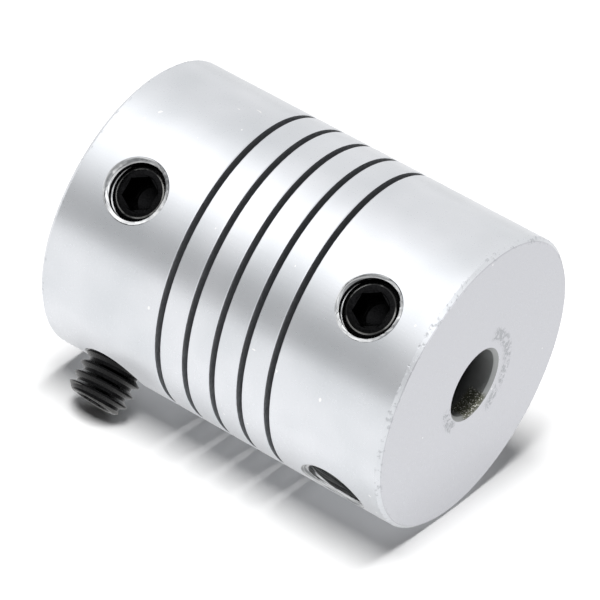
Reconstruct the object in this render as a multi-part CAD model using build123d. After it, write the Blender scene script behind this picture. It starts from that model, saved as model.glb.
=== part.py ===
from build123d import *
import math
import os

# A one-piece helical beam coupling for two shafts, with four set screws. Lengths in mm, angles in degrees.
# It is drawn upright, with its axis along Z and the backed-out screw pointing along +X, and then laid on its side.
# At rest its axis is X, the middle of its length is the origin and +Z is up.

# Body
outer_diameter = 19.0
body_length = 25.0
rim_chamfer = 0.25
bore_diameter = 4.4
bore_chamfer = 0.22
relief_diameter = 6.0
relief_margin = 1.0

# Helical slot, cut from the outside through to the relief
slot_width = 0.4
slot_pitch = 2.0
slot_turns = 5
slot_start_angle = 80.0

# Set screws, with a hex socket outside and a cup point inside
screw_diameter = 4.0
screw_length = 5.0
end_chamfer = 0.5
hex_across_flats = 2.0
hex_depth = 2.0
hex_lead_in = 0.1
cup_diameter = 2.0
cup_depth = 0.5

# Tapped holes, drawn at the thread's outer diameter round a screw and at the tap drill's below it
tap_drill_diameter = 3.3
thread_clearance = 0.01
mouth_chamfer = 0.1
row_spread = 86.0

# The near hub's screws are turned by this much from those of the far hub
near_upper_turn = -3.0
near_lower_turn = -6.0

# Both screws of the lower row stand this much nearer to the near end than those of the upper row
lower_row_shift = 0.3

# How far in from its hub's end a screw stands, as a share of the hub from the end to the relief
hole_share = 0.668

# How far each screw's outer end is below the body's surface, or above it where it is negative
near_upper_recess = 0.45
near_lower_recess = 0.8
far_upper_recess = 0.7
far_lower_recess = -2.4

# A cutting tool runs past the surface that it opens by this much
overrun = 0.5

# Sizes that follow from those above
outer_radius = outer_diameter / 2
relief_radius = relief_diameter / 2
screw_radius = screw_diameter / 2
hole_radius = screw_radius + thread_clearance
slot_rise = slot_pitch * slot_turns
relief_length = slot_rise + slot_width + 2 * relief_margin
hub_length = (body_length - relief_length) / 2
hole_height = body_length / 2 - hole_share * hub_length

# Node name: height on the upright body, angle round its axis, recess
screw_places = {
    "screw_near_upper": (hole_height, near_upper_turn - row_spread, near_upper_recess),
    "screw_near_lower": (hole_height + lower_row_shift, near_lower_turn, near_lower_recess),
    "screw_far_upper": (-hole_height, -row_spread, far_upper_recess),
    "screw_far_lower": (lower_row_shift - hole_height, 0.0, far_lower_recess),
}


def roll_to_touch(corner_reach, corner_radius):
    """Angle from straight down at which a corner of the backed-out screw touches the floor."""
    span = math.hypot(corner_reach, corner_radius)
    return math.degrees(math.acos(outer_radius / span) + math.atan2(corner_radius, corner_reach))


def rest_angle():
    """Angle of the backed-out screw from straight down when the body lies on its side and on that screw."""
    reach = outer_radius - far_lower_recess
    end_edge = roll_to_touch(reach, screw_radius - end_chamfer)
    thread_edge = roll_to_touch(reach - end_chamfer, screw_radius)
    return max(end_edge, thread_edge)


def lay_down(shape):
    """Turns the upright body's Z to X, and its +X to rest_angle from straight down, on the -Y side."""
    drop = math.radians(rest_angle())
    rest = Plane(origin=(0, 0, 0), x_dir=(0, -math.sin(drop), -math.cos(drop)), z_dir=(1, 0, 0))
    return rest.location * shape


def radial(height, angle):
    """A place on the upright axis whose local Z points outwards at the given angle."""
    turn = math.radians(angle)
    return Plane(origin=(0, 0, height), x_dir=(0, 0, 1), z_dir=(math.cos(turn), math.sin(turn), 0)).location


def radial_cylinder(radius, inner, outer):
    """A cylinder along local Z between two distances from the coupling's axis."""
    return Pos(0, 0, (inner + outer) / 2) * Cylinder(radius, outer - inner)


def blank():
    """The turned body: rims broken, one bore in each hub and a wider relief between them."""
    body = Cylinder(outer_radius, body_length)
    body = chamfer(body.edges().filter_by(GeomType.CIRCLE), rim_chamfer)
    # The bore's seam line is turned to the side that no screw hole opens into
    body -= Rot(0, 0, 180) * Cylinder(bore_diameter / 2, body_length)
    for side in (1, -1):
        mouth = Cone(bore_diameter / 2, bore_diameter / 2 + bore_chamfer, bore_chamfer)
        mouth = Pos(0, 0, body_length / 2 - bore_chamfer / 2) * mouth
        body -= mouth if side > 0 else Rot(180, 0, 0) * mouth
    return body - Cylinder(relief_radius, relief_length)


def cut_slot(body):
    """Cuts the right-handed slot: a radial blade swept along a helix, then a round end of its own width at each end."""
    inner = relief_radius - overrun
    outer = outer_radius + overrun
    helix = Helix(slot_pitch, slot_rise, (inner + outer) / 2, center=(0, 0, -slot_rise / 2))
    start = Plane(origin=helix @ 0, x_dir=(1, 0, 0), z_dir=helix % 0)
    blade = sweep(start * Rectangle(outer - inner, slot_width), path=helix, is_frenet=True)
    body -= Rot(0, 0, slot_start_angle) * blade
    end_angle = slot_start_angle + 360 * slot_turns
    for height, angle in ((-slot_rise / 2, slot_start_angle), (slot_rise / 2, end_angle)):
        body -= radial(height, angle) * radial_cylinder(slot_width / 2, inner, outer)
    return body


def tapped_hole(recess):
    """The cutter of one screw's hole, with a broken edge at its mouth."""
    tip = outer_radius - recess - screw_length
    mouth_radius = hole_radius + mouth_chamfer
    edge = math.sqrt(outer_radius**2 - mouth_radius**2)
    drill = radial_cylinder(tap_drill_diameter / 2, 0, outer_radius)
    thread = radial_cylinder(hole_radius, tip, outer_radius + overrun)
    mouth = Cone(hole_radius, mouth_radius + overrun, mouth_chamfer + overrun)
    mouth = Pos(0, 0, edge + (overrun - mouth_chamfer) / 2) * mouth
    return drill + thread + mouth


def set_screw():
    """A set screw along Z with its outer end at the origin."""
    screw = Pos(0, 0, -screw_length / 2) * Cylinder(screw_radius, screw_length)
    screw = chamfer(screw.edges().filter_by(GeomType.CIRCLE), end_chamfer)
    hexagon = RegularPolygon(hex_across_flats / 2, 6, major_radius=False)
    socket = Pos(0, 0, -hex_depth) * extrude(hexagon, hex_depth)
    corner = hex_across_flats / math.sqrt(3)
    lead_in = Pos(0, 0, -hex_lead_in / 2) * Cone(corner - hex_lead_in, corner, hex_lead_in)
    cup = Pos(0, 0, cup_depth / 2 - screw_length) * Cone(cup_diameter / 2, 0, cup_depth)
    return screw - socket - lead_in - cup


def coupling_body():
    """The blank with its slot and its four tapped holes."""
    body = cut_slot(blank())
    for height, angle, recess in screw_places.values():
        body -= radial(height, angle) * tapped_hole(recess)
    return body


os.makedirs("parts", exist_ok=True)
export_step(lay_down(coupling_body()), "parts/coupling_body.step")
for name, (height, angle, recess) in screw_places.items():
    placed = radial(height, angle) * Pos(0, 0, outer_radius - recess) * set_screw()
    export_step(lay_down(placed), f"parts/{name}.step")
print("rest angle", round(rest_angle(), 2))
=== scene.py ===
import math

import bmesh
import bpy
from mathutils import Matrix, Vector


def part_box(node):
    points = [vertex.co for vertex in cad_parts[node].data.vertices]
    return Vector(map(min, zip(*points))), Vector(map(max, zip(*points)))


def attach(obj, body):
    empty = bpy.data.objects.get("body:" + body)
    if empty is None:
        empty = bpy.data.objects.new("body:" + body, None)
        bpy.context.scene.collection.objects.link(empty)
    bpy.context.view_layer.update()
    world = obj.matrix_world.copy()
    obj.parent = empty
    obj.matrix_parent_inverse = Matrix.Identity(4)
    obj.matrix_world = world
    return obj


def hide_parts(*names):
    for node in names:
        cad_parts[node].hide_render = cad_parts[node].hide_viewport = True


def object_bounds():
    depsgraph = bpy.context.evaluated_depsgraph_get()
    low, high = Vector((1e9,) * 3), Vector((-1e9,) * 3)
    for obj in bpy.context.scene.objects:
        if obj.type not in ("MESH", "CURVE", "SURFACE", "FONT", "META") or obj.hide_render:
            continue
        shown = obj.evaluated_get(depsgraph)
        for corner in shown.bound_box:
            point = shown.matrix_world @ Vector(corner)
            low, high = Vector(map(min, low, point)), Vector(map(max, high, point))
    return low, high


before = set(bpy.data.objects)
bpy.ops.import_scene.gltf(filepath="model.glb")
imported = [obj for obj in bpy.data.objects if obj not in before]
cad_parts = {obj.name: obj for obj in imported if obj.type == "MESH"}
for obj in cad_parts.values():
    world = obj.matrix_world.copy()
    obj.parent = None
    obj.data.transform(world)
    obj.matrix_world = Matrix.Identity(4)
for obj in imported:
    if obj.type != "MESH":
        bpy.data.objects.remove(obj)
cadBounds = [list(corner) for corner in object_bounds()]
scene = bpy.context.scene
scene.view_settings.view_transform = "Standard"
mm = 0.001  # pieces are shaped in millimetres and brought to metres at the end
weld = 1e-3  # millimetres; corners nearer to each other than this become one
print("stage: frame loaded")


# Helpers

# Colour of a hex value, in linear light
def srgb(hexCode):
    channels = [int(hexCode[i:i + 2], 16) / 255 for i in (0, 2, 4)]
    linear = [c / 12.92 if c <= 0.04045 else ((c + 0.055) / 1.055) ** 2.4 for c in channels]
    return (*linear, 1.0)


# Adds a node, sets its properties or inputs, and links its inputs to other sockets
def addNode(tree, kind, settings=None, links=None):
    node = tree.nodes.new(kind)
    for name, value in (settings or {}).items():
        if isinstance(name, int) or name in node.inputs:
            node.inputs[name].default_value = value
        else:
            setattr(node, name, value)
    for name, socket in (links or {}).items():
        tree.links.new(socket, node.inputs[name])
    return node


def newMaterial(name):
    material = bpy.data.materials.new(name)
    material.use_nodes = True
    tree = material.node_tree
    tree.nodes.clear()
    return material, tree


# Turns a bmesh in millimetres into an object that is still in millimetres
def makePiece(bm, name, materials):
    bmesh.ops.recalc_face_normals(bm, faces=bm.faces)
    mesh = bpy.data.meshes.new(name)
    bm.to_mesh(mesh)
    bm.free()
    for material in materials:
        mesh.materials.append(material)
    piece = bpy.data.objects.new(name, mesh)
    scene.collection.objects.link(piece)
    return piece


# Runs (tool, operation) pairs on the target one after another, and removes the tools
def applyBooleans(target, tools):
    for tool, operation in tools:
        cut = target.modifiers.new(tool.name, "BOOLEAN")
        cut.object = tool
        cut.operation = operation
        cut.solver = "EXACT"
        cut.material_mode = "TRANSFER"
        graph = bpy.context.evaluated_depsgraph_get()
        mesh = bpy.data.meshes.new_from_object(target.evaluated_get(graph))
        target.modifiers.clear()
        target.data = mesh
        bpy.data.objects.remove(tool)
    return target


# Cleans a piece after its booleans, brings it to metres, shades it smooth up to the crease angle
# and hands it to the frame
def finishPiece(piece, node, creaseAngle):
    bm = bmesh.new()
    bm.from_mesh(piece.data)
    bmesh.ops.remove_doubles(bm, verts=bm.verts, dist=weld)
    bmesh.ops.dissolve_degenerate(bm, edges=bm.edges, dist=weld)
    bmesh.ops.holes_fill(bm, edges=[edge for edge in bm.edges if edge.is_boundary], sides=0)
    bmesh.ops.recalc_face_normals(bm, faces=bm.faces)
    openEdges = sum(not edge.is_manifold for edge in bm.edges)
    print(node, "open edges", openEdges, "volume", round(bm.calc_volume(), 2))
    bm.to_mesh(piece.data)
    bm.free()
    piece.data.transform(Matrix.Scale(mm, 4))
    piece.data.shade_smooth()
    piece.data.set_sharp_from_angle(angle=math.radians(creaseAngle))
    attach(piece, "root")
    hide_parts(node)
    return piece


# A cone, or a cylinder, along Z between two heights
def capCone(lowRadius, highRadius, low, high, segments, name, material, matrix=Matrix()):
    bm = bmesh.new()
    middle = Matrix.Translation((0, 0, (low + high) / 2))
    bmesh.ops.create_cone(bm, cap_ends=True, segments=segments, radius1=lowRadius, radius2=highRadius,
                          depth=high - low, matrix=middle)
    bmesh.ops.transform(bm, matrix=matrix, verts=bm.verts)
    return makePiece(bm, name, [material])


# Turns a tool's Z to the radial direction at an angle round the coupling's axis, and its X to that axis
def outward(x, angle):
    away = Vector((0, math.cos(angle), math.sin(angle)))
    along = Vector((1, 0, 0))
    across = away.cross(along)
    turn = Matrix((along, across, away)).transposed().to_4x4()
    return Matrix.Translation((x, 0, 0)) @ turn


# Where the CAD's screws stand: place along the axis, angle round it and reach of the outer end

screwNodes = ["screw_near_upper", "screw_near_lower", "screw_far_upper", "screw_far_lower"]
screwLength = 5.0


def screwPlace(node):
    low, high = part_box(node)
    centre = (low + high) / 2 / mm
    angle = math.atan2(centre.z, centre.y)
    reach = math.hypot(centre.y, centre.z) + screwLength / 2
    return {"x": centre.x, "angle": angle, "reach": reach}


places = {node: screwPlace(node) for node in screwNodes}


# Camera, as fitted to the photograph: angles in degrees, lengths in millimetres

cameraView = {
    "azimuth": 29.687, "elevation": 33.977, "roll": 10.921,
    "distance": 303.516, "aim": (0.055, -0.31, -0.435),
    "lens": 306.393, "filmWidth": 36, "nearest": 10,
}
cameraData = bpy.data.cameras.new("camera")
cameraData.lens = cameraView["lens"]
cameraData.sensor_width = cameraView["filmWidth"]
cameraData.clip_start = cameraView["nearest"] * mm
camera = bpy.data.objects.new("camera", cameraData)
scene.collection.objects.link(camera)
aim = Matrix.Translation(Vector(cameraView["aim"]) * mm)
turn = Matrix.Rotation(math.radians(cameraView["azimuth"]), 4, "Z")
tip = Matrix.Rotation(math.radians(90 - cameraView["elevation"]), 4, "X")
roll = Matrix.Rotation(math.radians(cameraView["roll"]), 4, "Z")
stepBack = Matrix.Translation((0, 0, cameraView["distance"] * mm))
camera.matrix_world = aim @ turn @ tip @ roll @ stepBack
scene.camera = camera
print("stage: camera")


# Light: a pale tent whose reflection is painted round the coupling's axis, and a lamp over the floor

# Angle round the axis, from the back horizon over the top to the front one, and the tent's brightness there
tentBands = [
    (0, 1.2), (22, 1.1), (48, 1.12), (66, 1.25), (80, 1.55), (92, 1.9),
    (116, 1.9), (128, 1.5), (142, 1.05), (156, 0.68), (170, 0.62), (180, 0.7),
]
brightest = max(level for angle, level in tentBands)
tent = {"background": 1.0, "matt": 0.12}  # as the camera sees it, and as it lights matt surfaces
world = bpy.data.worlds.new("tent")
scene.world = world
world.use_nodes = True
sky = world.node_tree
sky.nodes.clear()
skyPlace = addNode(sky, "ShaderNodeTexCoord").outputs["Generated"]
skyAxes = addNode(sky, "ShaderNodeSeparateXYZ", links={0: skyPlace}).outputs
skyAngle = addNode(sky, "ShaderNodeMath", {"operation": "ARCTAN2"},
                   {0: skyAxes["Z"], 1: skyAxes["Y"]}).outputs[0]
skyShare = addNode(sky, "ShaderNodeMath", {"operation": "DIVIDE", 1: math.pi}, {0: skyAngle}).outputs[0]
skyRamp = addNode(sky, "ShaderNodeValToRGB", links={0: skyShare})
stops = skyRamp.color_ramp.elements
while len(stops) < len(tentBands):
    stops.new(0.5)
for stop, (angle, level) in zip(stops, tentBands):
    stop.position = angle / 180
    stop.color = (*[level / brightest] * 3, 1)
skyLevel = addNode(sky, "ShaderNodeMath", {"operation": "MULTIPLY", 1: brightest},
                   {0: skyRamp.outputs["Color"]}).outputs[0]
skyRays = addNode(sky, "ShaderNodeLightPath").outputs
skyLight = addNode(sky, "ShaderNodeMix", {"A": tent["matt"]},
                   {"Factor": skyRays["Is Glossy Ray"], "B": skyLevel})
skySeen = addNode(sky, "ShaderNodeMix", {"B": tent["background"]},
                  {"Factor": skyRays["Is Camera Ray"], "A": skyLight.outputs["Result"]})
skyShader = addNode(sky, "ShaderNodeBackground", links={"Strength": skySeen.outputs["Result"]})
addNode(sky, "ShaderNodeOutputWorld", links={"Surface": skyShader.outputs["Background"]})

# The lamp, in metres and watts; it lights matt surfaces and casts the shadow, but the metal
# doesn't mirror it
lamp = {"size": (0.11, 0.24), "direction": (0.0, -0.2, 1.0), "distance": 0.32, "power": 1.75}
lampData = bpy.data.lights.new("lamp", "AREA")
lampData.shape = "RECTANGLE"
lampData.size, lampData.size_y = lamp["size"]
lampData.energy = lamp["power"]
lampObject = bpy.data.objects.new("lamp", lampData)
lampObject.visible_glossy = False
scene.collection.objects.link(lampObject)
direction = Vector(lamp["direction"]).normalized()
facing = direction.to_track_quat("Z", "Y").to_matrix().to_4x4()
lampObject.matrix_world = Matrix.Translation(direction * lamp["distance"]) @ facing


# Floor, in millimetres

floorSheet = {
    "size": 4000, "paper": "F4F4F4", "white": "FFFFFF",
    "reflected": 0.9, "reflectedShare": 0.7, "fadeStart": 26, "fadeEnd": 70,
}


# Matt white paper: white to the camera, and keeps the shadow
def paperSweep():
    material, tree = newMaterial("white paper sweep")
    rays = addNode(tree, "ShaderNodeLightPath").outputs
    paper = addNode(tree, "ShaderNodeBsdfDiffuse", {"Color": srgb(floorSheet["paper"])}).outputs[0]
    white = srgb(floorSheet["white"])
    # In reflections it is mostly evenly white, so that the body's own shadow doesn't darken its satin sides
    mirrored = addNode(tree, "ShaderNodeMath", {"operation": "MULTIPLY", 1: floorSheet["reflectedShare"]},
                       {0: rays["Is Glossy Ray"]}).outputs[0]
    glow = addNode(tree, "ShaderNodeEmission",
                   {"Color": white, "Strength": floorSheet["reflected"]}).outputs[0]
    near = addNode(tree, "ShaderNodeMixShader", links={0: mirrored, 1: paper, 2: glow}).outputs[0]
    # Beyond the lamp's reach the camera sees it evenly white
    place = addNode(tree, "ShaderNodeTexCoord").outputs["Object"]
    reach = addNode(tree, "ShaderNodeVectorMath", {"operation": "LENGTH"}, {0: place}).outputs["Value"]
    fade = {"From Min": floorSheet["fadeStart"] * mm, "From Max": floorSheet["fadeEnd"] * mm}
    far = addNode(tree, "ShaderNodeMapRange", fade, {"Value": reach}).outputs["Result"]
    seenFar = addNode(tree, "ShaderNodeMath", {"operation": "MULTIPLY"},
                      {0: far, 1: rays["Is Camera Ray"]}).outputs[0]
    backdrop = addNode(tree, "ShaderNodeEmission", {"Color": white, "Strength": 1.0}).outputs[0]
    sheet = addNode(tree, "ShaderNodeMixShader", links={0: seenFar, 1: near, 2: backdrop}).outputs[0]
    addNode(tree, "ShaderNodeOutputMaterial", links={"Surface": sheet})
    return material


floorMesh = bmesh.new()
floorHeight = Matrix.Translation((0, 0, cadBounds[0][2] / mm))
bmesh.ops.create_grid(floorMesh, x_segments=1, y_segments=1, size=floorSheet["size"] / 2,
                      matrix=floorHeight)
floor = makePiece(floorMesh, "floor", [paperSweep()])
floor.data.transform(Matrix.Scale(mm, 4))
print("stage: light and floor")


# Materials; sizes, depths and places in them are in millimetres

# Noise with grains of a size, cut to 0 below low and 1 above high
def specks(tree, vector, grain, low, high, detail=2.0, roughness=0.6):
    settings = {"Scale": 1 / (grain * mm), "Detail": detail, "Roughness": roughness}
    noise = addNode(tree, "ShaderNodeTexNoise", settings, {"Vector": vector}).outputs["Fac"]
    return addNode(tree, "ShaderNodeMapRange", {"From Min": low, "From Max": high},
                   {"Value": noise}).outputs["Result"]


# 1 between two values, 0 outside them, with soft shoulders
def band(tree, value, low, high, soft):
    rising = {"From Min": low - soft, "From Max": low}
    falling = {"From Min": high, "From Max": high + soft, "To Min": 1.0, "To Max": 0.0}
    rise = addNode(tree, "ShaderNodeMapRange", rising, {"Value": value}).outputs["Result"]
    fall = addNode(tree, "ShaderNodeMapRange", falling, {"Value": value}).outputs["Result"]
    return addNode(tree, "ShaderNodeMath", {"operation": "MULTIPLY"}, {0: rise, 1: fall}).outputs[0]


# A point's place, its place along the coupling's axis to either side, its distance from the axis
# and its angle round it
def whereabouts(tree):
    place = addNode(tree, "ShaderNodeTexCoord").outputs["Object"]
    axes = addNode(tree, "ShaderNodeSeparateXYZ", links={0: place}).outputs
    along = addNode(tree, "ShaderNodeMath", {"operation": "ABSOLUTE"}, {0: axes["X"]}).outputs[0]
    across = addNode(tree, "ShaderNodeVectorMath", {"operation": "MULTIPLY", 1: (0, 1, 1)},
                     {0: place}).outputs[0]
    reach = addNode(tree, "ShaderNodeVectorMath", {"operation": "LENGTH"}, {0: across}).outputs["Value"]
    swept = addNode(tree, "ShaderNodeMath", {"operation": "ARCTAN2"},
                    {0: axes["Z"], 1: axes["Y"]}).outputs[0]
    return place, along, reach, swept


satinSkin = {
    "tint": "E8EAEE", "cloud": "DCDFE3", "facedAndShadedEnd": "CFD0D5", "mark": "A9ACB0", "glint": "FFFFFF",
    "cloudSize": 6.0, "grainSize": 0.12, "turningPitch": 0.07, "scuffSize": 0.2,
    "dingSize": 0.3, "tickSize": 0.4,
    "roughness": (0.24, 0.34), "scuffShare": 0.8, "dingShare": 0.45,
    "endFace": 12.45, "rimAlong": (12.2, 13.0), "rimReach": (9.2, 9.6), "rimSoft": 0.08,
    "turningDepth": 0.004, "grainDepth": 0.02, "dentDepth": 0.05,
}
# Scuffed arcs on the end faces, a wide one at the back and a short one low in front:
# two angles in degrees with their softness in radians, and two radii with theirs
scuffArcs = [((-48, 66, 0.15), (3.0, 3.55, 0.25)), ((-165, -128, 0.12), (2.6, 3.1, 0.2))]


# Clear satin anodising on turned bar: pale grey with broad soft highlights, a fine grain and handling marks
def anodisedAluminium():
    skin = satinSkin
    material, tree = newMaterial("anodised aluminium")
    place, along, reach, swept = whereabouts(tree)
    onEnd = addNode(tree, "ShaderNodeMath", {"operation": "GREATER_THAN", 1: skin["endFace"] * mm},
                    {0: along}).outputs[0]
    # Dirt specks in the scuffed arcs round the bore
    arcs = []
    for (start, end, angleSoft), (inner, outer, reachSoft) in scuffArcs:
        fan = band(tree, swept, math.radians(start), math.radians(end), angleSoft)
        ring = band(tree, reach, inner * mm, outer * mm, reachSoft * mm)
        arcs.append(addNode(tree, "ShaderNodeMath", {"operation": "MULTIPLY"},
                            {0: fan, 1: ring}).outputs[0])
    eitherArc = addNode(tree, "ShaderNodeMath", {"operation": "MAXIMUM"},
                        {0: arcs[0], 1: arcs[1]}).outputs[0]
    scuffArea = addNode(tree, "ShaderNodeMath", {"operation": "MULTIPLY"},
                        {0: onEnd, 1: eitherArc}).outputs[0]
    dirt = specks(tree, place, skin["scuffSize"], 0.47, 0.57)
    scuff = addNode(tree, "ShaderNodeMath", {"operation": "MULTIPLY"}, {0: scuffArea, 1: dirt}).outputs[0]
    # Small dents along both rims
    rimSoft = skin["rimSoft"] * mm
    rimBand = band(tree, along, *[value * mm for value in skin["rimAlong"]], rimSoft)
    rimRing = band(tree, reach, *[value * mm for value in skin["rimReach"]], rimSoft)
    rim = addNode(tree, "ShaderNodeMath", {"operation": "MULTIPLY"}, {0: rimBand, 1: rimRing}).outputs[0]
    chipped = specks(tree, place, skin["dingSize"], 0.56, 0.66)
    dings = addNode(tree, "ShaderNodeMath", {"operation": "MULTIPLY"}, {0: rim, 1: chipped}).outputs[0]
    softScuff = addNode(tree, "ShaderNodeMath", {"operation": "MULTIPLY", 1: skin["scuffShare"]},
                        {0: scuff}).outputs[0]
    softDings = addNode(tree, "ShaderNodeMath", {"operation": "MULTIPLY", 1: skin["dingShare"]},
                        {0: dings}).outputs[0]
    marks = addNode(tree, "ShaderNodeMath", {"operation": "MAXIMUM"},
                    {0: softScuff, 1: softDings}).outputs[0]
    # A few tiny bright ticks: painted glints
    ticks = specks(tree, place, skin["tickSize"], 0.86, 0.87, 0.0)
    clouds = specks(tree, place, skin["cloudSize"], 0.35, 0.65)
    tints = {"data_type": "RGBA", 6: srgb(skin["tint"]), 7: srgb(skin["cloud"])}
    colour = addNode(tree, "ShaderNodeMix", tints, {"Factor": clouds}).outputs[2]
    # The end faces get a darker tint: partly their faced finish, partly painted shade
    for layer, share in (("facedAndShadedEnd", onEnd), ("mark", marks), ("glint", ticks)):
        over = {"data_type": "RGBA", 7: srgb(skin[layer])}
        colour = addNode(tree, "ShaderNodeMix", over, {"Factor": share, 6: colour}).outputs[2]
    grain = specks(tree, place, skin["grainSize"], 0.0, 1.0, 3.0)
    smooth, rough = skin["roughness"]
    roughness = addNode(tree, "ShaderNodeMapRange", {"To Min": smooth, "To Max": rough},
                        {"Value": grain}).outputs["Result"]
    # Turning lines: noise that changes only with the distance from the axis on the ends, and
    # along it on the barrel
    ringPlace = addNode(tree, "ShaderNodeCombineXYZ", links={0: along, 1: reach}).outputs[0]
    turning = specks(tree, ringPlace, skin["turningPitch"], 0.0, 1.0, 1.0)
    turned = addNode(tree, "ShaderNodeBump", {"Strength": 0.1, "Distance": skin["turningDepth"] * mm},
                     {"Height": turning}).outputs["Normal"]
    grained = addNode(tree, "ShaderNodeBump", {"Strength": 0.08, "Distance": skin["grainDepth"] * mm},
                      {"Height": grain, "Normal": turned}).outputs["Normal"]
    dented = addNode(tree, "ShaderNodeBump",
                     {"Strength": 0.6, "Distance": skin["dentDepth"] * mm, "invert": True},
                     {"Height": marks, "Normal": grained}).outputs["Normal"]
    shader = addNode(tree, "ShaderNodeBsdfPrincipled", {"Metallic": 1.0},
                     {"Base Color": colour, "Roughness": roughness, "Normal": dented}).outputs[0]
    addNode(tree, "ShaderNodeOutputMaterial", links={"Surface": shader})
    return material


bareMetal = {
    "bright": "E6E7E8", "dull": "8C8E90", "deep": "58595B", "roughness": 0.3,
    "dark": 7.3, "light": 8.6, "linePitch": 0.07, "lineStretch": 0.04, "tornSize": 0.14, "tornDepth": 0.03,
}


# Bare metal in the tapped holes: brighter than the anodised skin, with tap lines, and painted shade
# darkening it deep inside
def bareCutAluminium():
    metal = bareMetal
    material, tree = newMaterial("bare cut aluminium")
    place, along, reach, swept = whereabouts(tree)
    # The tap lines run round a hole: the noise changes quickly with the distance from the
    # coupling's axis only
    stretch = {"operation": "MULTIPLY", 1: [metal["lineStretch"]] * 3}
    slow = addNode(tree, "ShaderNodeVectorMath", stretch, {0: place}).outputs[0]
    slowAxes = addNode(tree, "ShaderNodeSeparateXYZ", links={0: slow}).outputs
    linePlace = addNode(tree, "ShaderNodeCombineXYZ",
                        links={0: reach, 1: slowAxes["X"], 2: slowAxes["Y"]}).outputs[0]
    lines = specks(tree, linePlace, metal["linePitch"], 0.38, 0.62)
    tones = {"data_type": "RGBA", 6: srgb(metal["dull"]), 7: srgb(metal["bright"])}
    wall = addNode(tree, "ShaderNodeMix", tones, {"Factor": lines}).outputs[2]
    # Painted shade: deeper in the hole the wall darkens to the deep colour
    daylight = {"From Min": metal["dark"] * mm, "From Max": metal["light"] * mm}
    lit = addNode(tree, "ShaderNodeMapRange", daylight, {"Value": reach}).outputs["Result"]
    colour = addNode(tree, "ShaderNodeMix", {"data_type": "RGBA", 6: srgb(metal["deep"])},
                     {"Factor": lit, 7: wall}).outputs[2]
    ragged = specks(tree, place, metal["tornSize"], 0.2, 0.8)
    torn = addNode(tree, "ShaderNodeBump", {"Strength": 0.14, "Distance": metal["tornDepth"] * mm},
                   {"Height": ragged}).outputs["Normal"]
    shader = addNode(tree, "ShaderNodeBsdfPrincipled", {"Metallic": 1.0, "Roughness": metal["roughness"]},
                     {"Base Color": colour, "Normal": torn}).outputs[0]
    addNode(tree, "ShaderNodeOutputMaterial", links={"Surface": shader})
    return material


reamed = {
    "mouth": "A4A6A6", "inside": "242426", "olivePatch": "5A5B4C", "chipGlint": "F4F4EE", "metallic": 0.3,
    "roughness": 0.4,
    "dark": 10.4, "light": 12.4, "olivePatchAngles": (-95, -48), "olivePatchAngleSoft": 0.15,
    "olivePatchAlong": (11.5, 12.4), "olivePatchAlongSoft": 0.25, "chipGlintSize": 0.1,
}


# The reamed bore: painted shade, grey near its mouth and dark further in
def reamedBore():
    bore = reamed
    material, tree = newMaterial("reamed bore")
    place, along, reach, swept = whereabouts(tree)
    # Painted shade: the wall darkens from the mouth colour to the inside colour further in from the mouth
    daylight = {"From Min": bore["dark"] * mm, "From Max": bore["light"] * mm}
    nearMouth = addNode(tree, "ShaderNodeMapRange", daylight, {"Value": along}).outputs["Result"]
    # Low in front: an olive patch
    olivePatchFan = band(tree, swept, *[math.radians(angle) for angle in bore["olivePatchAngles"]], bore["olivePatchAngleSoft"])
    olivePatchBand = band(tree, along, *[value * mm for value in bore["olivePatchAlong"]], bore["olivePatchAlongSoft"] * mm)
    olivePatch = addNode(tree, "ShaderNodeMath", {"operation": "MULTIPLY"}, {0: olivePatchFan, 1: olivePatchBand}).outputs[0]
    # Bright chips in the olive patch, with painted glints
    glitter = specks(tree, place, bore["chipGlintSize"], 0.57, 0.63)
    chipGlints = addNode(tree, "ShaderNodeMath", {"operation": "MULTIPLY"}, {0: olivePatch, 1: glitter}).outputs[0]
    tones = {"data_type": "RGBA", 6: srgb(bore["inside"]), 7: srgb(bore["mouth"])}
    colour = addNode(tree, "ShaderNodeMix", tones, {"Factor": nearMouth}).outputs[2]
    for layer, share in (("olivePatch", olivePatch), ("chipGlint", chipGlints)):
        over = {"data_type": "RGBA", 7: srgb(bore[layer])}
        colour = addNode(tree, "ShaderNodeMix", over, {"Factor": share, 6: colour}).outputs[2]
    shader = addNode(tree, "ShaderNodeBsdfPrincipled",
                     {"Metallic": bore["metallic"], "Roughness": bore["roughness"]},
                     {"Base Color": colour}).outputs[0]
    addNode(tree, "ShaderNodeOutputMaterial", links={"Surface": shader})
    return material


sawn = {
    "edge": "9A9CA0", "deep": "5C5E62", "metallic": 0.2, "roughness": 0.55,
    "dark": 7.5, "light": 9.5, "streakSize": 0.3, "streakFloor": 0.6,
}


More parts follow.
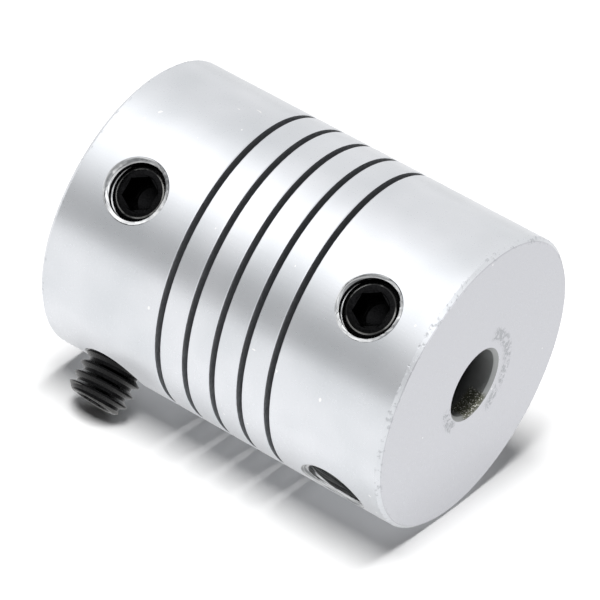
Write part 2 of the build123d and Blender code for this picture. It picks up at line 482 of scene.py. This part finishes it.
# The saw cut inside the slot: grey with cutting dirt, darkened by painted shade throughout and more the
# deeper it goes
def slitWall():
    material, tree = newMaterial("slit wall")
    place, along, reach, swept = whereabouts(tree)
    # Painted shade: the wall darkens from the edge colour to the deep colour further in
    daylight = {"From Min": sawn["dark"] * mm, "From Max": sawn["light"] * mm}
    lit = addNode(tree, "ShaderNodeMapRange", daylight, {"Value": reach}).outputs["Result"]
    streaks = specks(tree, place, sawn["streakSize"], 0.3, 0.7)
    dimmed = addNode(tree, "ShaderNodeMapRange", {"To Min": sawn["streakFloor"]},
                     {"Value": streaks}).outputs["Result"]
    shade = addNode(tree, "ShaderNodeMath", {"operation": "MULTIPLY"}, {0: lit, 1: dimmed}).outputs[0]
    tones = {"data_type": "RGBA", 6: srgb(sawn["deep"]), 7: srgb(sawn["edge"])}
    colour = addNode(tree, "ShaderNodeMix", tones, {"Factor": shade}).outputs[2]
    shader = addNode(tree, "ShaderNodeBsdfPrincipled",
                     {"Metallic": sawn["metallic"], "Roughness": sawn["roughness"]},
                     {"Base Color": colour}).outputs[0]
    addNode(tree, "ShaderNodeOutputMaterial", links={"Surface": shader})
    return material


blackOxide = {
    "deep": "0D0D0E", "worn": "1C1C1D", "roughness": (0.2, 0.36), "grainSize": 0.12, "grainDepth": 0.02,
}


# Black oxide on screw steel: near black with an oily gloss, its grain showing as small glints
def blackOxideSteel():
    material, tree = newMaterial("black oxide steel")
    place = addNode(tree, "ShaderNodeTexCoord").outputs["Object"]
    grain = specks(tree, place, blackOxide["grainSize"], 0.3, 0.7, 4.0)
    tones = {"data_type": "RGBA", 6: srgb(blackOxide["deep"]), 7: srgb(blackOxide["worn"])}
    colour = addNode(tree, "ShaderNodeMix", tones, {"Factor": grain}).outputs[2]
    smooth, rough = blackOxide["roughness"]
    roughness = addNode(tree, "ShaderNodeMapRange", {"To Min": smooth, "To Max": rough},
                        {"Value": grain}).outputs["Result"]
    grained = addNode(tree, "ShaderNodeBump", {"Strength": 0.15, "Distance": blackOxide["grainDepth"] * mm},
                      {"Height": grain}).outputs["Normal"]
    shader = addNode(tree, "ShaderNodeBsdfPrincipled", {"Metallic": 1.0},
                     {"Base Color": colour, "Roughness": roughness, "Normal": grained}).outputs[0]
    addNode(tree, "ShaderNodeOutputMaterial", links={"Surface": shader})
    return material


greyChamfer = {"dark": "4E4E4E", "light": "6A6A68", "roughness": 0.35, "grainSize": 0.15}


# The chamfer of the backed-out screw's end, coloured a grey lighter than the rest of its oxide
def greyChamferOxide():
    material, tree = newMaterial("grey chamfer oxide")
    place = addNode(tree, "ShaderNodeTexCoord").outputs["Object"]
    tones = {"data_type": "RGBA", 6: srgb(greyChamfer["dark"]), 7: srgb(greyChamfer["light"])}
    grain = specks(tree, place, greyChamfer["grainSize"], 0.3, 0.7)
    colour = addNode(tree, "ShaderNodeMix", tones, {"Factor": grain}).outputs[2]
    shader = addNode(tree, "ShaderNodeBsdfPrincipled", {"Metallic": 1.0, "Roughness": greyChamfer["roughness"]},
                     {"Base Color": colour}).outputs[0]
    addNode(tree, "ShaderNodeOutputMaterial", links={"Surface": shader})
    return material


edgeHighlight = {
    "dark": "2C2C2C", "light": "8E8E8C", "roughness": 0.3, "patchSize": 1.1,
    "scratchSize": 0.1, "scratchDepth": 0.02,
}


# Painted highlight: the narrow edge round a screw's end, coloured light grey in patches where it catches
# light
def paintedEdgeHighlight():
    material, tree = newMaterial("painted edge highlight")
    place = addNode(tree, "ShaderNodeTexCoord").outputs["Object"]
    tones = {"data_type": "RGBA", 6: srgb(edgeHighlight["dark"]), 7: srgb(edgeHighlight["light"])}
    patches = specks(tree, place, edgeHighlight["patchSize"], 0.42, 0.58)
    colour = addNode(tree, "ShaderNodeMix", tones, {"Factor": patches}).outputs[2]
    scratches = specks(tree, place, edgeHighlight["scratchSize"], 0.2, 0.8)
    scratched = addNode(tree, "ShaderNodeBump",
                        {"Strength": 0.3, "Distance": edgeHighlight["scratchDepth"] * mm},
                        {"Height": scratches}).outputs["Normal"]
    shader = addNode(tree, "ShaderNodeBsdfPrincipled",
                     {"Metallic": 1.0, "Roughness": edgeHighlight["roughness"]},
                     {"Base Color": colour, "Normal": scratched}).outputs[0]
    addNode(tree, "ShaderNodeOutputMaterial", links={"Surface": shader})
    return material


satin, sawnWall, cutMetal, boreWall = anodisedAluminium(), slitWall(), bareCutAluminium(), reamedBore()
blackSteel, greyChamferSteel, edgeHighlightSteel = blackOxideSteel(), greyChamferOxide(), paintedEdgeHighlight()
print("stage: materials")


# Screw thread, on screws and in their holes

thread = {
    "pitch": 0.7, "crestRadius": 1.91, "rootRadius": 1.56, "crestWidth": 0.1, "flankAngle": 30, "steps": 64,
}


# A right-handed threaded rod along Z between two heights. Its teeth depend only on the height,
# so the thread of a screw and that of its hole match
def threadedRod(low, high, root, crest):
    pitch, crestWidth, steps = thread["pitch"], thread["crestWidth"], thread["steps"]
    flank = (crest - root) * math.tan(math.radians(thread["flankAngle"]))
    tooth = [(crest, 0), (crest, crestWidth), (root, crestWidth + flank), (root, pitch - flank)]
    bm = bmesh.new()
    line = []
    for turnNumber in range(math.floor(low / pitch) - 2, math.ceil(high / pitch) + 2):
        line += [bm.verts.new((radius, 0, turnNumber * pitch + height)) for radius, height in tooth]
    edges = [bm.edges.new(pair) for pair in zip(line, line[1:])]
    bmesh.ops.spin(bm, geom=line + edges, cent=(0, 0, 0), axis=(0, 0, 1), dvec=(0, 0, pitch / steps),
                   angle=math.tau, steps=steps)
    bmesh.ops.remove_doubles(bm, verts=bm.verts, dist=1e-4)
    for height, normal in ((low, (0, 0, -1)), (high, (0, 0, 1))):
        everything = bm.verts[:] + bm.edges[:] + bm.faces[:]
        bmesh.ops.bisect_plane(bm, geom=everything, dist=1e-5, plane_co=(0, 0, height), plane_no=normal,
                               clear_outer=True)
        rim = [edge for edge in bm.edges
               if edge.is_boundary and all(abs(v.co.z - height) < 1e-3 for v in edge.verts)]
        bmesh.ops.contextual_create(bm, geom=rim)
    # The thread's twisted quads and its end caps are made flat triangles, which the booleans need
    bmesh.ops.triangulate(bm, faces=bm.faces[:])
    return bm


# Screws

screw = {
    "radius": 2.0, "endChamfer": 0.5, "highlightEdgeWidth": 0.05, "segments": 96, "rodOverrun": 0.3,
    "socketAcross": 2.0, "socketDepth": 2.0, "socketLeadIn": 0.06, "leadInSegments": 64,
    "drillTipRadius": 0.9, "drillTipDepth": 0.45, "drillTipOverlap": 0.2, "drillTipSegments": 48,
    "cupRadius": 1.0, "cupDepth": 0.5, "cupSegments": 64,
}
screwMaterials = [blackSteel, greyChamferSteel, edgeHighlightSteel]


# The cylinder that a screw is cut from, its ends chamfered and the outer end's edge taken off once more
def screwBlank():
    radius, bevel, worn = screw["radius"], screw["endChamfer"], screw["highlightEdgeWidth"]
    bm = bmesh.new()
    middle = Matrix.Translation((0, 0, -screwLength / 2))
    bmesh.ops.create_cone(bm, cap_ends=True, segments=screw["segments"], radius1=radius, radius2=radius,
                          depth=screwLength, matrix=middle)
    ends = [edge for edge in bm.edges if abs(edge.verts[0].co.z - edge.verts[1].co.z) < 1e-4]
    bmesh.ops.bevel(bm, geom=ends, offset=bevel, offset_type="OFFSET", segments=1, affect="EDGES",
                    profile=0.5, material=-1)
    outerEdge = [edge for edge in bm.edges if all(abs(v.co.z) < 1e-4 for v in edge.verts)]
    bmesh.ops.bevel(bm, geom=outerEdge, offset=worn, offset_type="OFFSET", segments=1, affect="EDGES",
                    profile=0.5, material=-1)
    # Faces of the narrow bevel get the painted edge highlight, the rest of the chamfer the grey chamfer
    # colour
    for face in bm.faces:
        height = face.calc_center_median().z
        if -worn < height < -1e-4:
            face.material_index = screwMaterials.index(edgeHighlightSteel)
        elif -0.9 * bevel < height < -1e-4:
            face.material_index = screwMaterials.index(greyChamferSteel)
    return makePiece(bm, "blank", screwMaterials)


# The tool of a screw's socket: the hexagon, the cone that its drill left below it and its broken mouth
def socketTool():
    depth, leadIn, overlap = screw["socketDepth"], screw["socketLeadIn"], screw["drillTipOverlap"]
    tipRadius, tipDepth = screw["drillTipRadius"], screw["drillTipDepth"]
    hexReach = screw["socketAcross"] / math.sqrt(3)
    socket = capCone(hexReach, hexReach, -depth, 1, 6, "socket", blackSteel)
    drillTip = capCone(0, tipRadius * (1 + overlap), -depth - tipDepth, -depth + tipDepth * overlap,
                       screw["drillTipSegments"], "drillTip", blackSteel)
    mouth = capCone(hexReach - leadIn, hexReach + 1, -leadIn, 1, screw["leadInSegments"], "mouth",
                    blackSteel)
    return applyBooleans(socket, [(drillTip, "UNION"), (mouth, "UNION")])


# One set screw along Z with its outer end at the origin; all four share it
def setScrew():
    overrun, cupRadius, cupDepth = screw["rodOverrun"], screw["cupRadius"], screw["cupDepth"]
    rod = threadedRod(-screwLength - overrun, overrun, thread["rootRadius"], thread["crestRadius"])
    rod = makePiece(rod, "rod", screwMaterials)
    cup = capCone(cupRadius + 1, 0, -screwLength - cupDepth, -screwLength + cupDepth, screw["cupSegments"],
                  "cup", blackSteel)
    return applyBooleans(rod,
                         [(screwBlank(), "INTERSECT"), (socketTool(), "DIFFERENCE"), (cup, "DIFFERENCE")])


pattern = setScrew()
for node in screwNodes:
    spot = places[node]
    piece = bpy.data.objects.new(node + "_dressed", pattern.data.copy())
    scene.collection.objects.link(piece)
    piece.data.transform(outward(spot["x"], spot["angle"]) @ Matrix.Translation((0, 0, spot["reach"])))
    if node == "screw_far_lower":
        # The satin barrel shows no dark image of this screw beside it
        piece.visible_glossy = False
    else:
        # Only the backed-out screw has its chamfer coloured grey
        piece.data.materials[screwMaterials.index(greyChamferSteel)] = blackSteel
    finishPiece(piece, node, 25)
bpy.data.objects.remove(pattern)
print("stage: screws")


# Body

body = {
    "radius": 9.5, "halfLength": 12.5, "rimChamfer": 0.25, "boreRadius": 2.2, "boreChamfer": 0.22,
    "reliefRadius": 3.0, "reliefHalf": 6.2, "segments": 256,
}
slit = {
    "width": 0.4, "pitch": 2.0, "turns": 5, "afterBackedOutScrew": 80, "edgeBreak": 0.05,
    "stepsPerTurn": 96,
    "innerRadius": 2.6, "overrun": 0.4,
    "endUndersize": 0.004, "endInnerRadius": 2.7, "endOverrun": 0.3, "endSegments": 22,
}
hole = {
    "tapDrillRadius": 1.65, "drillFoot": 0.5, "drillOverrun": 1.0, "drillSegments": 60,
    "minorRadius": 1.84, "majorRadius": 2.01, "footGap": 0.05, "overrun": 0.6,
    "breakStep": 0.04, "breakBelow": 0.03, "breakAbove": 0.3,
}
# Width of the broken edge at each hole's mouth
mouthBreak = {
    "screw_near_upper": 0.06, "screw_near_lower": 0.2, "screw_far_upper": 0.1, "screw_far_lower": 0.1,
}
bodyMaterials = [satin, sawnWall, cutMetal, boreWall]


# The turned sleeve: its half section spun round the coupling's axis
def turnedBlank():
    half, rim, chamfer = body["halfLength"], body["radius"], body["rimChamfer"]
    bore, mouth = body["boreRadius"], body["boreChamfer"]
    relief, reliefHalf = body["reliefRadius"], body["reliefHalf"]
    oneSide = [
        (reliefHalf, relief), (reliefHalf, bore), (half - mouth, bore),
        (half, bore + mouth), (half, rim - chamfer), (half - chamfer, rim),
    ]
    outline = oneSide + [(-x, r) for x, r in reversed(oneSide)]
    bm = bmesh.new()
    corners = [bm.verts.new((x, r, 0)) for x, r in outline]
    edges = [bm.edges.new((a, b)) for a, b in zip(corners, corners[1:] + corners[:1])]
    bmesh.ops.spin(bm, geom=corners + edges, cent=(0, 0, 0), axis=(1, 0, 0), angle=math.tau,
                   steps=body["segments"], use_merge=True)
    for face in bm.faces:
        inBore = face.calc_center_median().yz.length < bore + mouth
        face.material_index = bodyMaterials.index(boreWall if inBore else satin)
    return makePiece(bm, "coupling_body_dressed", bodyMaterials)


slitStart = places["screw_far_lower"]["angle"] + math.radians(slit["afterBackedOutScrew"])
slitRise = slit["pitch"] * slit["turns"]


# The slot's blade, with flared edges at the outer surface, wound along the helix
def slitBlade():
    half, flare, rim, overrun = slit["width"] / 2, slit["edgeBreak"], body["radius"], slit["overrun"]
    rightSide = [(half, slit["innerRadius"]), (half, rim - flare), (half + flare + overrun, rim + overrun)]
    section = rightSide + [(-x, r) for x, r in reversed(rightSide)]
    section = section[-1:] + section[:-1]
    steps = slit["stepsPerTurn"] * slit["turns"]
    bm = bmesh.new()
    place = Matrix.Rotation(slitStart, 4, "X") @ Matrix.Translation((-slitRise / 2, 0, 0))
    face = bm.faces.new([bm.verts.new(place @ Vector((x, r, 0))) for x, r in section])
    bmesh.ops.spin(bm, geom=[face], cent=(0, 0, 0), axis=(1, 0, 0), dvec=(slitRise / steps, 0, 0),
                   angle=math.tau * slit["turns"], steps=steps)
    bmesh.ops.triangulate(bm, faces=bm.faces[:])
    for face in bm.faces:
        flared = face.calc_center_median().yz.length > rim - flare
        face.material_index = bodyMaterials.index(satin if flared else sawnWall)
    return makePiece(bm, "slitBlade", [satin, sawnWall])


# The round end of the slot, radial at one end of its helix; a hair smaller than the blade is wide
def slitEnd(side):
    where = outward(side * slitRise / 2, slitStart)
    radius = slit["width"] / 2 - slit["endUndersize"]
    return capCone(radius, radius, slit["endInnerRadius"], body["radius"] + slit["endOverrun"],
                   slit["endSegments"], "slitEnd", sawnWall, where)


# The tool of one screw's hole: the tap drill, the thread and the broken edge at its mouth
def tappedHole(node):
    spot, rim, broken = places[node], body["radius"], mouthBreak[node]
    major, step = hole["majorRadius"], hole["breakStep"]
    reach = spot["reach"]
    where = outward(spot["x"], spot["angle"])
    drill = capCone(hole["tapDrillRadius"], hole["tapDrillRadius"], hole["drillFoot"],
                    rim + hole["drillOverrun"],
                    hole["drillSegments"], "drill", cutMetal, where)
    rod = threadedRod(-screwLength - hole["footGap"], rim + hole["overrun"] - reach, hole["minorRadius"],
                      major)
    # The broken edge: close under the body's round surface the tool's corners are pushed out
    # to a cone that follows it
    lowest = math.sqrt(rim ** 2 - major ** 2) - broken - hole["breakBelow"]
    for level in range(math.ceil((rim + hole["breakAbove"] - lowest) / step)):
        everything = rod.verts[:] + rod.edges[:] + rod.faces[:]
        height = lowest - reach + level * step
        bmesh.ops.bisect_plane(rod, geom=everything, dist=1e-5, plane_co=(0, 0, height), plane_no=(0, 0, 1))
    for vert in rod.verts:
        span = vert.co.xy.length
        if span < 1e-3:
            continue
        surface = math.sqrt(rim ** 2 - (major * vert.co.y / span) ** 2)
        above = vert.co.z + reach - surface
        coneRadius = major + broken + above
        if above > -broken and span < coneRadius:
            vert.co.xy *= coneRadius / span
    bmesh.ops.triangulate(rod, faces=rod.faces[:])
    bmesh.ops.transform(rod, matrix=where @ Matrix.Translation((0, 0, reach)), verts=rod.verts)
    return applyBooleans(makePiece(rod, "holeThread", [cutMetal]), [(drill, "UNION")])


sleeve = turnedBlank()
applyBooleans(sleeve, [(tappedHole(node), "DIFFERENCE") for node in screwNodes])
applyBooleans(sleeve,
              [(slitBlade(), "DIFFERENCE"), (slitEnd(-1), "DIFFERENCE"), (slitEnd(1), "DIFFERENCE")])
finishPiece(sleeve, "coupling_body", 30)
print("stage: body", len(sleeve.data.polygons), "faces")
